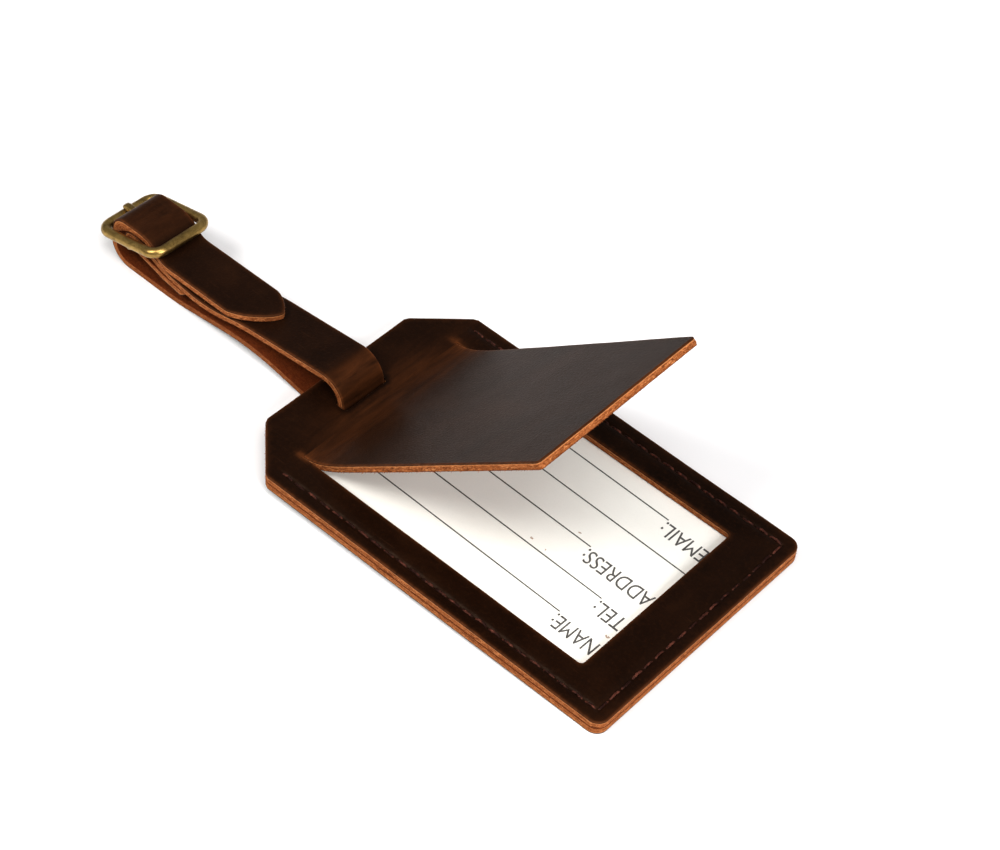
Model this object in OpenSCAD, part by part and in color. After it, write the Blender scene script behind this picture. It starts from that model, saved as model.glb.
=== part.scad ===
// Leather luggage tag: two panels sewn on three sides around a name card, a window
// flap cut from the front panel, and a buckled strap looped through a slot.
// X runs along the tag, with the strap loop at -X. Z = 0 is the table it lies on.

/* [Tag body] */
// Length of the leather panels
tag_l = 110; // [100:1:125]
// Width of the leather panels
tag_w = 71; // [66:1:80]
// Thickness of one leather panel
panel_t = 2.05; // [1.6:0.05:2.4]
// Size of the cut-off corners at the strap end
corner_cut = 12; // [8:0.5:14]
// Radius of the two corners at the far end
corner_r = 3; // [2:0.5:8]

/* [Window and flap] */
// Distance from the strap end to the fold line of the flap
fold_x = 14; // [13.5:0.5:16]
// Length of the window along the tag
window_l = 82.5; // [70:0.5:83]
// Width of the window
window_w = 51.6; // [44:0.2:54]
// Sideways offset of the window from the centre line
window_y = 0.4; // [-1:0.1:1]
// Angle that the flap stands open at
flap_open = 39.8; // [0:0.1:90]

/* [Name card] */
// Width of the card
card_w = 60; // [56:0.5:61]
// Thickness of the card
card_t = 0.35; // [0.25:0.05:0.45]
// Distance that the card can shift towards the strap
card_play = 2; // [1:0.1:2.2]

/* [Seam] */
// Distance from the panel's edge to the seam
seam_inset = 3.3; // [3:0.1:4]
// Longest stitch in the seam
stitch_pitch = 4; // [3:0.1:5]
// Diameter of the sewing thread
thread_d = 0.7; // [0.5:0.05:0.8]

/* [Strap] */
// Width of the strap
strap_w = 13.4; // [12:0.1:13.4]
// Thickness of the strap leather
strap_t = 1.9; // [1.7:0.05:1.9]
// Sideways offset of the strap from the centre line
strap_y = -1.5; // [-3:0.1:1]
// Angle that the strap lies at to the tag, seen from above
strap_yaw = 1.2; // [0:0.1:2]
// Width of the slot that the strap passes through
slot_gap = 3.4; // [3:0.1:3.6]

/* [Buckle] */
// Inner width of the buckle, across the strap
buckle_gap = 14.4; // [14.4:0.1:18]
// Length of the buckle's frame between wire centres
buckle_l = 19.8; // [19.6:0.1:20.4]
// Diameter of the buckle's wire
wire_d = 2.6; // [2.2:0.1:2.6]
// Angle that the buckle's front end stands up by
buckle_tilt = 12.6; // [12:0.1:14]

/* [Hidden] */
$fn = 48;
eps = 0.01;
slide_gap = 0.15;       // free space above and below the card
side_gap = 0.3;         // free space around the flap and at the card's edges

// The tag lies on its far bottom edge, lifted at the strap end by the strap under it.
lift = 2.35;
tilt = asin(lift / tag_l);
bend_r = 12.3;          // radius that the flap's leather bends by when it opens
hinge_x = fold_x + bend_r * tan(flap_open / 2);
window_end = fold_x + window_l;
window_r = 1;
slot_x = 9.2;
slot_l = strap_w + 1.2;

// Seam line corners: from the strap end along one side, across the far end and back
seam_x = corner_cut + 1.5;
seam_far = tag_l - seam_inset;
seam_y = tag_w / 2 - seam_inset;
seam = [[seam_x, -seam_y], [seam_far, -seam_y], [seam_far, seam_y], [seam_x, seam_y]];
groove_w = thread_d + 0.3;
groove_h = thread_d;
stitch_gap = 0.5;       // leather between two stitches
leg_d = thread_d * 0.8; // the thread is pulled thinner where it passes through the leather

// Pocket for the card, cut in the back panel and closed by the seam at the far end
pocket_h = card_t + 2 * slide_gap;
pocket_end = tag_l - seam_inset - 1.3;
card_start = fold_x - 0.4;
card_end = pocket_end - side_gap;
card_l = card_end - card_start;
pocket_x = card_start - card_play - side_gap;
pocket_w = card_w + 2 * side_gap;

// Strap centre line as [x, z] from the tag's strap end, with the buckle's bar in its fold
bar = [-60.7, 9.9];
bar_d = 2.2;
bar_gap = 0.05;         // clearance of the fold and of the tongue's eye around the bar
skive_t = 1.3;          // thickness of the strap where it wraps the bar
wrap_r = bar_d / 2 + bar_gap + skive_t / 2;
wrap_bend = wrap_r - 0.01;  // a little under wrap_r, so that the fold's two bends don't meet
tail_turn = [-50.5, 5.55];
fold_meet = [-50, 7.5];
slot_top = 12.05;
table_z = strap_t / 2;
hump_z = 13.4;
tip = [-17.2, 11.1];
end_x = -60;            // where the free end starts, on top of the bar
end_bend = -52;         // where it turns aside as it leaves the buckle, and by what angle
end_yaw = 3.6;
bow = [-21, 4.2];       // highest point of the lower strand's bow, before it is rounded
tongue_z = 11.1;
tongue_t = 1.4;
tongue_w = 2;
eye_wall = 0.8;
slit_l = 5.8;           // length of the slit in the fold that the tongue comes through
hole_d = 2.9;           // tongue hole in the strap, drawn lower by hole_drop to a long shape
hole_l = 4.8;
hole_back = 9.3;        // distance from the bar back to the hole's start
hole_drop = 0.35;
fold_seam = [-46, 3.6]; // middle of the fold's stitches along the strap, and their spacing
loop_l = 3;             // length of one of those stitches across the strap
frame_z = 11.2;
frame_half = buckle_l / 2;
frame_side = (buckle_gap + wire_d) / 2;
frame_r = 3;            // radius of the frame's corners, at the wire's centre
reach = (slot_x - bar[0] + frame_half * cos(buckle_tilt)) * cos(strap_yaw) - slot_x
    + (frame_side - frame_r) * sin(strap_yaw) + wire_d / 2;
far_x = (tag_l + reach) / 2;
tag_x = far_x - tag_l;

leather = "#3b2519";
thread_colour = "#5a3a36";
brass = "#a8894a";

// ---- frames ----

// Places children drawn flat, with x = 0 at the strap end, as the tag lies on the table
module on_tag() {
    translate([far_x, 0, 0]) rotate([0, tilt, 0]) translate([-tag_l, 0, 0]) children();
}

// Places children drawn with x = 0 at the tag's strap end and y = 0 on the strap's middle
module on_strap() {
    translate([tag_x + slot_x, strap_y, 0]) rotate([0, 0, -strap_yaw]) translate([-slot_x, 0, 0])
        children();
}

// Extrudes an [x, z] outline to a width centred on y = 0
module across(width) {
    translate([0, width / 2, 0]) rotate([90, 0, 0]) linear_extrude(width) children();
}

// ---- tag body ----

// Rectangle from x = 0 to l, centred on y = 0, with its two far corners rounded
module far_rounded(l, w, r) {
    difference() {
        translate([0, -w / 2]) square([l, w]);
        for (side = [-1, 1])
            translate([l - r, side * (w / 2 - r)]) mirror([0, side < 0 ? 1 : 0]) difference() {
                square(r + eps);
                circle(r);
            }
    }
}

module panel_outline() {
    difference() {
        far_rounded(tag_l, tag_w, corner_r);
        for (side = [-1, 1])
            translate([0, side * tag_w / 2])
                polygon([[-eps, side * eps], [corner_cut, side * eps], [-eps, -side * corner_cut]]);
        translate([slot_x - slot_gap / 2, strap_y - slot_l / 2]) square([slot_gap, slot_l]);
    }
}

module seam_groove() {
    for (i = [0:2])
        let (a = seam[i], d = seam[i + 1] - a)
            translate(a) rotate(atan2(d[1], d[0]))
                translate([-groove_w / 2, -groove_w / 2]) square([norm(d) + groove_w, groove_w]);
}

module front_panel() {
    color(leather) on_tag() difference() {
        translate([0, 0, panel_t]) linear_extrude(panel_t) panel_outline();
        translate([hinge_x - panel_t / 2 - side_gap, window_y, panel_t - eps])
            linear_extrude(panel_t + 2 * eps)
                far_rounded(window_end - hinge_x + panel_t / 2 + side_gap, window_w, window_r);
        translate([0, 0, 2 * panel_t - groove_h]) linear_extrude(groove_h + eps) seam_groove();
    }
}

module back_panel() {
    color(leather) on_tag() difference() {
        linear_extrude(panel_t) panel_outline();
        translate([pocket_x, -pocket_w / 2, panel_t - pocket_h])
            cube([pocket_end - pocket_x, pocket_w, pocket_h + eps]);
        translate([0, 0, -eps]) linear_extrude(groove_h + eps) seam_groove();
    }
}

// The flap turns on the round of its own fold edge
module flap() {
    color(leather) on_tag()
        translate([hinge_x, window_y, 1.5 * panel_t]) rotate([0, -flap_open, 0]) {
            rotate([90, 0, 0]) cylinder(d = panel_t, h = window_w - 2 * side_gap, center = true);
            translate([0, 0, -panel_t / 2]) linear_extrude(panel_t)
                far_rounded(window_end - side_gap - hinge_x, window_w - 2 * side_gap, window_r);
        }
}

module id_card() {
    color("white") on_tag()
        translate([card_start, -card_w / 2, panel_t - slide_gap - card_t])
            cube([card_l, card_w, card_t]);
}

// One stitch: a span of thread with a leg into the leather at each end
module stitch(span, depth) {
    rotate([0, 90, 0]) cylinder(d = thread_d, h = span);
    for (x = [thread_d / 2, span - thread_d / 2])
        translate([x, 0, -depth]) cylinder(d = leg_d, h = depth);
}

// The seam's stitches, lying in the groove of the upper face of two panels
module seam_stitches() {
    for (i = [0:2])
        let (a = seam[i], d = seam[i + 1] - a, count = ceil(norm(d) / stitch_pitch), step = norm(d) / count)
            for (k = [0:count - 1])
                translate([a[0], a[1], 2 * panel_t - groove_h + thread_d / 2 + eps])
                    rotate(atan2(d[1], d[0])) translate([k * step + stitch_gap / 2, 0, 0])
                        stitch(step - stitch_gap, panel_t - groove_h + thread_d / 2);
}

module needle_thread() {
    color(thread_colour) on_tag() seam_stitches();
}

module bobbin_thread() {
    color(thread_colour) on_tag()
        translate([0, 0, 2 * panel_t]) mirror([0, 0, 1]) seam_stitches();
}

// ---- strap ----

function unit(v) = v / norm(v);

// Height of the wrap's corner behind the bar: the strap from p runs below (1) or above (-1) it
function wrap_z(p, side) =
    let (d = bar - p, a = atan2(d[1], d[0]) + side * asin(wrap_r / norm(d)))
        p[1] + (bar[0] - wrap_r - p[0]) * tan(a);

// Strap route as [x, z, bend radius, thickness]: tail, fold, upper strand, slot, lower
// strand that bows up off the table, turn, and up through the buckle
route = [
    [-43, tail_turn[1], 0, strap_t],
    [tail_turn[0], tail_turn[1], 6, strap_t],
    [bar[0] - wrap_r, wrap_z(tail_turn, 1), wrap_bend, skive_t],
    [bar[0] - wrap_r, wrap_z(fold_meet, -1), wrap_bend, skive_t],
    [fold_meet[0], fold_meet[1], 14, strap_t],
    [-32, fold_meet[1], 60, strap_t],
    [slot_x, slot_top, 5.5, strap_t],
    [slot_x, table_z, 1.1, strap_t],
    [-3, table_z, 20, strap_t],
    [bow[0], bow[1], 60, strap_t],
    [-46, table_z, 60, strap_t],
    [-68.5, table_z, 5, strap_t],
    [-66.9, hump_z, 3.2, strap_t],
    [end_x, hump_z, 0, strap_t]
];

// Route of the free end, from on top of the bar out onto the upper strand
end_route = [
    [end_x, hump_z, 0, strap_t],
    [-57, hump_z, 7, strap_t],
    [-51.5, 10.5, 8, strap_t],
    [-33, 10.2, 80, strap_t],
    [tip[0], tip[1], 0, strap_t]
];

function point(p) = [p[0], p[1]];
function heading(a, b) = atan2(b[1] - a[1], b[0] - a[0]);

// Points [x, z, thickness, heading] along the arc that rounds corner b between a and c
function bend(a, b, c) =
    let (u = unit(point(a) - point(b)), v = unit(point(c) - point(b)), half = acos(u * v) / 2,
         centre = point(b) + unit(u + v) * b[2] / sin(half), turn = sign(cross(v, u)),
         start = heading(centre, point(b) + u * b[2] / tan(half)), sweep = 180 - 2 * half,
         steps = max(2, ceil(sweep / 9)))
    [for (i = [0:steps]) let (q = start + turn * sweep * i / steps)
        [centre[0] + b[2] * cos(q), centre[1] + b[2] * sin(q), b[3], q + turn * 90]];

// Points of a whole route: its two ends and the arcs between them
function lane(r) =
    let (last = len(r) - 1)
    concat([[r[0][0], r[0][1], r[0][3], heading(r[0], r[1])]],
        [for (i = [1:last - 1]) each bend(r[i - 1], r[i], r[i + 1])],
        [[r[last][0], r[last][1], r[last][3], heading(r[last - 1], r[last])]]);

// One side of the leather, half a thickness away from each point of its centre line
function face(p, side) = [for (q = p) point(q) + side * q[2] / 2 * [-sin(q[3]), cos(q[3])]];

function reversed(list) = [for (i = [len(list) - 1:-1:0]) list[i]];

module leather_lane(p) {
    polygon(concat(face(p, 1), reversed(face(p, -1))));
}

// Round-ended strip, seen from above, that the free end is cut to
module end_outline() {
    half = strap_w / 2;
    lap = half * sin(end_yaw);
    straight = (tip[0] - end_bend) / cos(end_yaw) - half;
    translate([end_x, -half]) square([end_bend - end_x, strap_w]);
    translate([end_bend, 0]) rotate(-end_yaw) {
        translate([-lap, -half]) square([lap + straight, strap_w]);
        translate([straight, 0]) circle(half);
    }
}

module strap() {
    color(leather) on_strap() {
        difference() {
            across(strap_w) leather_lane(lane(route));
            // slit in the fold, up to the underside of the strap's hump
            translate([bar[0] - slit_l / 2, -tongue_w / 2 - side_gap, bar[1] - slit_l / 2])
                cube([slit_l, tongue_w + 2 * side_gap, hump_z - strap_t / 2 - bar_gap - bar[1] + slit_l / 2]);
            // hole where the strap rises through the buckle
            for (z = [tongue_z, tongue_z - hole_drop])
                translate([bar[0] - hole_back, 0, z]) rotate([0, 90, 0]) cylinder(d = hole_d, h = hole_l);
        }
        intersection() {
            across(2 * strap_w) leather_lane(lane(end_route));
            linear_extrude(2 * hump_z) end_outline();
        }
    }
}

// Stitches that close the fold: loops of thread through the upper strand and the tail
module fold_thread() {
    top = fold_meet[1] + strap_t / 2;
    low = tail_turn[1] - strap_t / 2;
    color(thread_colour) on_strap()
        for (k = [-1:1]) translate([fold_seam[0], k * fold_seam[1], 0]) {
            for (z = [low, top]) translate([0, 0, z]) rotate([90, 0, 0])
                cylinder(d = thread_d, h = loop_l, center = true);
            for (side = [-1, 1]) translate([0, side * (loop_l - thread_d) / 2, low])
                cylinder(d = leg_d, h = top - low);
        }
}

// ---- buckle ----

// Closed loop of round wire: half sizes a and b and corner radius r at the wire's centre
module wire_loop(a, b, r, d) {
    for (q = [0:3])
        let (along = q % 2 == 0 ? a : b, out = q % 2 == 0 ? b : a)
            rotate(90 * q) {
                translate([0, -out, 0]) rotate([0, 90, 0])
                    cylinder(d = d, h = 2 * (along - r), center = true);
                translate([along - r, r - out, 0]) rotate(-90)
                    rotate_extrude(angle = 90) translate([r, 0]) circle(d = d);
            }
}

module buckle_frame() {
    color(brass) on_strap() translate([bar[0], 0, frame_z]) rotate([0, -buckle_tilt, 0])
        wire_loop(frame_half, frame_side, frame_r, wire_d);
}

module buckle_bar() {
    color(brass) on_strap() translate([bar[0], 0, bar[1]]) rotate([90, 0, 0])
        cylinder(d = bar_d, h = 2 * frame_side, center = true);
}

module buckle_tongue() {
    eye_r = bar_d / 2 + bar_gap;
    tongue_end = bar[0] - frame_half * cos(buckle_tilt) - side_gap;
    color(brass) on_strap() across(tongue_w) difference() {
        union() {
            translate(bar) circle(eye_r + eye_wall);
            translate([tongue_end, tongue_z - tongue_t / 2]) square([bar[0] - tongue_end, tongue_t]);
            translate([tongue_end, tongue_z]) circle(d = tongue_t);
        }
        translate(bar) circle(eye_r);
    }
}

front_panel();
flap();
back_panel();
id_card();
needle_thread();
bobbin_thread();
strap();
fold_thread();
buckle_frame();
buckle_bar();
buckle_tongue();
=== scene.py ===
import math
import random

import bmesh
import bpy
import numpy as np
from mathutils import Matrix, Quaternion, Vector, noise
from mathutils.geometry import delaunay_2d_cdt


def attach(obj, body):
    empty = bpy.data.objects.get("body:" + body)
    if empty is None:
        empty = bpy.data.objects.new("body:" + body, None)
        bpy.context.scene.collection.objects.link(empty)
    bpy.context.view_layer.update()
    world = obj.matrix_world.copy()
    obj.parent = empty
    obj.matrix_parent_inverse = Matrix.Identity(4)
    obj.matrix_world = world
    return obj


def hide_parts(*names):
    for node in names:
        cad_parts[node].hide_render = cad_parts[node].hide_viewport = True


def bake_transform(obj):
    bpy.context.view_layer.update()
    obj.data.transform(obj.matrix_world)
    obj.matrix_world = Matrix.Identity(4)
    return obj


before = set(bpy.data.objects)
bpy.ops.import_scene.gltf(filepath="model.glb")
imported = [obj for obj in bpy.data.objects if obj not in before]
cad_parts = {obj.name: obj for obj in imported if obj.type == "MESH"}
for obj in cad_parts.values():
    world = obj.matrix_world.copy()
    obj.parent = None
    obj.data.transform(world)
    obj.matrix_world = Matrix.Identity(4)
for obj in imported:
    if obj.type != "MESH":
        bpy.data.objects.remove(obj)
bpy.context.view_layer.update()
scene = bpy.context.scene

# Everything is worked out in millimetres and turned to metres when a mesh is made.
MM = 0.001

# ---- sizes ----

TAG_L, TAG_W, PANEL_T = 110.0, 71.0, 2.05
CORNER_CUT, CORNER_R = 12.0, 3.0
FOLD_X, WINDOW_L, WINDOW_W, WINDOW_Y = 14.0, 82.5, 51.6, 0.4
FLAP_OPEN = math.radians(39.8)
BEND_L = 4.3  # length over which most of the flap's bend fades out
FLAP_GAP = 0.15
SLOT_X, SLOT_GAP, SLOT_L = 9.2, 3.4, 13.9
SEAM_X, SEAM_FAR, SEAM_Y = 13.5, 106.7, 32.2
STITCH_PITCH, THREAD_D = 4.0, 0.7
CARD_START, CARD_END, CARD_W, CARD_T = 13.6, 105.1, 60.0, 0.35
CARD_Z = 1.9  # the card's upper face

STRAP_Y, STRAP_W, STRAP_T = -1.5, 13.4, 1.9
BAR_X, BAR_Z, BAR_D = -60.7, 9.9, 2.2
SKIVE_T = 1.3  # thickness of the strap where it wraps the bar
WRAP_R = BAR_D / 2 + 0.05 + SKIVE_T / 2
HUMP_Z = 13.4
FRAME_Z, FRAME_HALF, FRAME_SIDE, FRAME_R, WIRE_D = 11.2, 9.9, 8.5, 3.0, 2.6
BUCKLE_TILT = math.radians(12.6)

LIFT = 2.35
TILT = math.asin(LIFT / TAG_L)
STRAP_YAW = math.radians(1.2)
END_SHIFT, END_BEND = 1.35, -51.0  # how far, and where, the free end shifts sideways at the buckle
FRAME_END = SLOT_X - BAR_X + FRAME_HALF * math.cos(BUCKLE_TILT)
REACH = FRAME_END * math.cos(STRAP_YAW) - SLOT_X + (FRAME_SIDE - FRAME_R) * math.sin(STRAP_YAW) + WIRE_D / 2
FAR_X = (TAG_L + REACH) / 2
TAG_X = FAR_X - TAG_L


# ---- places ----


def on_tag(p):
    """Row-frame points of points given on the flat tag, with x = 0 at its strap end."""
    dx = p[:, 0] - TAG_L
    c, s = math.cos(TILT), math.sin(TILT)
    return np.stack([FAR_X + dx * c + p[:, 2] * s, p[:, 1], p[:, 2] * c - dx * s], 1)


def turned(p, x, angle):
    """Points turned clockwise, seen from above, about a point on the strap's middle line."""
    dx, c, s = p[:, 0] - x, np.cos(angle), np.sin(angle)
    return np.stack([x + dx * c + p[:, 1] * s, p[:, 1] * c - dx * s, p[:, 2]], 1)


def on_strap(p):
    """Row-frame points of points given with x = 0 at the tag's strap end, y = 0 mid strap."""
    return turned(p, SLOT_X, STRAP_YAW) + np.array([TAG_X, STRAP_Y, 0.0])


def bent_flap(p):
    """Bends the flat flap up along its fold line, as the open flap stands."""
    along = p[:, 0] - FOLD_X
    run = np.linspace(0, WINDOW_L, 1200)
    bend = FLAP_OPEN * (1 - np.exp(-run / BEND_L))
    step = run[1] - run[0]
    run_x = np.concatenate([[0], np.cumsum(np.cos(bend[:-1] + np.diff(bend) / 2) * step)])
    run_z = np.concatenate([[0], np.cumsum(np.sin(bend[:-1] + np.diff(bend) / 2) * step)])
    turn, x, z = (np.interp(along, run, v) for v in (bend, run_x, run_z))
    up = p[:, 2] - 1.5 * PANEL_T
    x = FOLD_X + x - up * np.sin(turn)
    z = 1.5 * PANEL_T + z + up * np.cos(turn)
    x = np.where(along < 0, p[:, 0], x)
    return on_tag(np.stack([x, p[:, 1], z], 1))


# ---- outlines ----


def resampled(loop, step):
    """A closed outline's corners, with even points between them every step or less."""
    out = []
    for a, b in zip(loop, loop[1:] + loop[:1]):
        count = max(1, math.ceil(math.dist(a, b) / step))
        out += [(a[0] + (b[0] - a[0]) * k / count, a[1] + (b[1] - a[1]) * k / count) for k in range(count)]
    return out


def arc(cx, cy, r, start, end, count):
    """Points on an arc, with its angles in degrees."""
    turns = [math.radians(start + (end - start) * k / count) for k in range(count + 1)]
    return [(cx + r * math.cos(t), cy + r * math.sin(t)) for t in turns]


def box_outline(x0, x1, y0, y1, r0, r1):
    """Rectangle with corner radius r0 at its low-x end and r1 at its high-x end."""
    return (
        arc(x0 + r0, y0 + r0, r0, 180, 270, 5)
        + arc(x1 - r1, y0 + r1, r1, 270, 360, 5)
        + arc(x1 - r1, y1 - r1, r1, 0, 90, 5)
        + arc(x0 + r0, y1 - r0, r0, 90, 180, 5)
    )


def panel_outline():
    half, c, r = TAG_W / 2, CORNER_CUT, CORNER_R
    soft = 0.6  # the cut corners are slightly rounded
    return (
        [(0, half - c - soft), (0, c - half + soft), (soft, c - half - soft), (c - soft, soft - half)]
        + [(c + soft, -half)]
        + arc(TAG_L - r, r - half, r, 270, 360, 8)
        + arc(TAG_L - r, half - r, r, 0, 90, 8)
        + [(c + soft, half), (c - soft, half - soft), (soft, half - c + soft)]
    )


def slot_outline():
    half = SLOT_L / 2
    return box_outline(SLOT_X - SLOT_GAP / 2, SLOT_X + SLOT_GAP / 2, STRAP_Y - half, STRAP_Y + half, 0.9, 0.9)


def window_outline(grow=0.0, end=FOLD_X + WINDOW_L):
    half = WINDOW_W / 2 + grow
    far = box_outline(FOLD_X, end, WINDOW_Y - half, WINDOW_Y + half, 1, 1)[6:18]
    return [(FOLD_X, WINDOW_Y - half)] + far + [(FOLD_X, WINDOW_Y + half)]


def fold_line():
    """The uncut edge that the flap and the front panel share."""
    return [(FOLD_X, WINDOW_Y - WINDOW_W / 2 + 0.2), (FOLD_X, WINDOW_Y + WINDOW_W / 2 - 0.2)]


def seam_lines():
    return [
        ((SEAM_X, -SEAM_Y), (SEAM_FAR, -SEAM_Y)),
        ((SEAM_FAR, -SEAM_Y), (SEAM_FAR, SEAM_Y)),
        ((SEAM_FAR, SEAM_Y), (SEAM_X, SEAM_Y)),
    ]


# ---- leather sheets ----


def segments(loop):
    return list(zip(loop, loop[1:] + loop[:1]))


def distance(points, lines):
    """Distance from each point to the nearest of some line segments."""
    best = np.full(len(points), 1e9)
    for a, b in lines:
        a, d = np.array(a), np.subtract(b, a)
        t = np.clip(((points - a) @ d) / max(d @ d, 1e-12), 0, 1)
        best = np.minimum(best, np.hypot(*(points - a - t[:, None] * d).T))
    return best


def inside(points, loop):
    """Which points lie inside a closed outline."""
    hit = np.zeros(len(points), bool)
    x, y = points[:, 0], points[:, 1]
    for (ax, ay), (bx, by) in segments(loop):
        if ay != by:
            hit ^= ((ay > y) != (by > y)) & (x < (bx - ax) * (y - ay) / (by - ay) + ax)
    return hit


def offset_points(loop, gap):
    """Points beside a closed outline, gap to its left."""
    p = np.array(loop)
    ahead = np.roll(p, -1, 0) - p
    ahead /= np.maximum(np.linalg.norm(ahead, axis=1), 1e-9)[:, None]
    side = np.stack([-ahead[:, 1], ahead[:, 0]], 1)
    side = side + np.roll(side, 1, 0)
    side /= np.maximum(np.linalg.norm(side, axis=1), 1e-9)[:, None]
    return p + gap * side


EDGE_ROWS = (0.07, 0.18, 0.34, 0.6)  # distances from an edge that get their own row of points


def triangulated(outline, holes, step, creases=()):
    """Points, triangles and edge loops of a flat sheet. Outline and holes run counterclockwise."""
    rng = np.random.default_rng(7)
    solid = [outline] + holes
    edges = [s for loop in solid for s in segments(loop)]
    rows = [np.array(loop) for loop in solid]
    for gap in EDGE_ROWS:
        rows += [offset_points(outline, gap)] + [offset_points(h, -gap) for h in holes]
    for line, gaps in creases:
        (ax, ay), (bx, by) = line
        length = math.dist((ax, ay), (bx, by))
        u = np.array([(bx - ax) / length, (by - ay) / length])
        t = np.arange(0, length + 0.01, 0.5)[:, None]
        rows += [np.array([ax, ay]) + t * u + g * np.array([-u[1], u[0]]) for g in gaps]
    low, high = np.min(outline, 0), np.max(outline, 0)
    gx, gy = np.meshgrid(np.arange(low[0], high[0], step), np.arange(low[1], high[1], step))
    gx[1::2] += step / 2
    fill = np.stack([gx.ravel(), gy.ravel()], 1) + rng.uniform(-0.12, 0.12, (gx.size, 2)) * step
    away = distance(fill, edges) > EDGE_ROWS[-1] + 0.35 * step
    for line, gaps in creases:
        away &= distance(fill, [line]) > max(gaps) + 0.35 * step
    rows.append(fill[away])
    fixed = sum(len(loop) for loop in solid)
    points = np.concatenate(rows)
    keep = inside(points, outline)
    for h in holes:
        keep &= ~inside(points, h)
    keep[fixed:] &= distance(points[fixed:], edges) > 0.05
    keep[:fixed] = True
    points = points[keep]
    loops, at = [], 0
    for loop in solid:
        loops.append(list(range(at, at + len(loop))))
        at += len(loop)
    walls = [(a, b) for loop in loops for a, b in zip(loop, loop[1:] + loop[:1])]
    verts, _, tris, origin, _, _ = delaunay_2d_cdt([Vector(p) for p in points], walls, [], 0, 1e-5)
    place = {old: new for new, group in enumerate(origin) for old in group}
    verts = np.array([tuple(v) for v in verts])
    tris = np.array([tuple(t) for t in tris])
    middle = verts[tris].mean(1)
    keep = inside(middle, outline)
    for h in holes:
        keep &= ~inside(middle, h)
    return verts, tris[keep], [[place[i] for i in loop] for loop in loops]


def rounding(d, r):
    """How far a rounded edge of radius r falls below its sheet, at a distance d from it."""
    d = np.clip(d, 0, r)
    return r - np.sqrt(np.maximum(r * r - (r - d) ** 2, 0))


def fuzz(points, scale, seed):
    """Smooth noise from -1 to 1 at points in millimetres."""
    at = Vector((seed * 13.7, seed * 5.1, seed * 9.3))
    return np.array([noise.noise(Vector(p) * scale + at) for p in points])


def leather(name, shape, step, low, high, place, uncut=(), relief=None, under=None, creases=(), fray=0.06,
            wear=None, soft=(0.26, 0.12), grain_up=True, fibres=0.0):
    """A leather sheet from z = low to high with soft cut edges, relief on its faces and rough
    walls, moved to its place. Its flat coordinates stay on it for its materials, and its depth
    runs from 0 at the grain side to 1 at the flesh side."""
    outline, holes = shape
    flat, tris, loops = triangulated(outline, holes, step, creases)
    cut = [s for loop in shape[1] + [outline] for s in segments(loop)]
    cut = [s for s in cut if not uncut or distance(np.mean(s, 0)[None], uncut)[0] > 0.01]
    d = distance(flat, cut)
    top_z = high - rounding(d, soft[0]) + (relief(flat) if relief else 0)
    low_z = low + rounding(d, soft[1]) - (under(flat) if under else 0)
    count = len(flat)
    verts = [np.column_stack([flat, top_z]), np.column_stack([flat, low_z])]
    depth = [np.zeros(count), np.ones(count)]
    faces = [list(t) for t in tris] + [[i + count for i in t[::-1]] for t in tris]
    kinds = [0] * len(tris) + [2] * len(tris)
    start = 2 * count
    rows = 6
    for loop, hole in zip(loops, [False] + [True] * len(holes)):
        p = flat[loop]
        out = offset_points([tuple(q) for q in p], 1.0 if hole else -1.0) - p
        n = len(loop)
        rings = [np.array(loop)]
        held = distance(p, uncut) < 0.3 if uncut else np.zeros(n, bool)
        for k in range(1, rows):
            t = k / rows
            z = top_z[loop] * (1 - t) + low_z[loop] * t
            here = np.column_stack([p, z])
            rough = fuzz(here, 2.2, 3) * 0.8 + fuzz(here, 5.0, 5) * 0.8 + fuzz(here, 0.5, 8) * 0.5
            share = t if grain_up else 1 - t
            push = (rough * fray * (0.35 + 1.3 * share) - 0.02) * np.where(held, 0, 1)
            here[:, :2] += out * push[:, None]
            verts.append(here)
            depth.append(np.full(n, t))
            rings.append(np.arange(start, start + n))
            start += n
        rings.append(np.array(loop) + count)
        for a, b in zip(rings, rings[1:]):
            for i in range(n):
                j = (i + 1) % n
                faces.append([a[i], b[i], b[j], a[j]])
                kinds.append(1)
    base = high if not grain_up else low
    loose, tips = loose_fibres(shape, uncut, base, 1 if grain_up else -1, fibres)
    faces += [[i + start for i in f] for f in tips]
    kinds += [1] * len(tips)
    verts.append(loose)
    depth.append(np.full(len(loose), 0.8 if grain_up else 0.2))
    verts, depth = np.concatenate(verts), np.concatenate(depth)
    depth = depth if grain_up else 1 - depth
    worn = 0.5 * np.exp(-((distance(verts[:, :2], cut) / 0.45) ** 2))
    if wear:
        worn = np.clip(worn + wear(verts[:, :2]), 0, 1)
    return solid_mesh(name, place(verts), faces, kinds, flat=verts, depth=depth, wear=worn)


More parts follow.
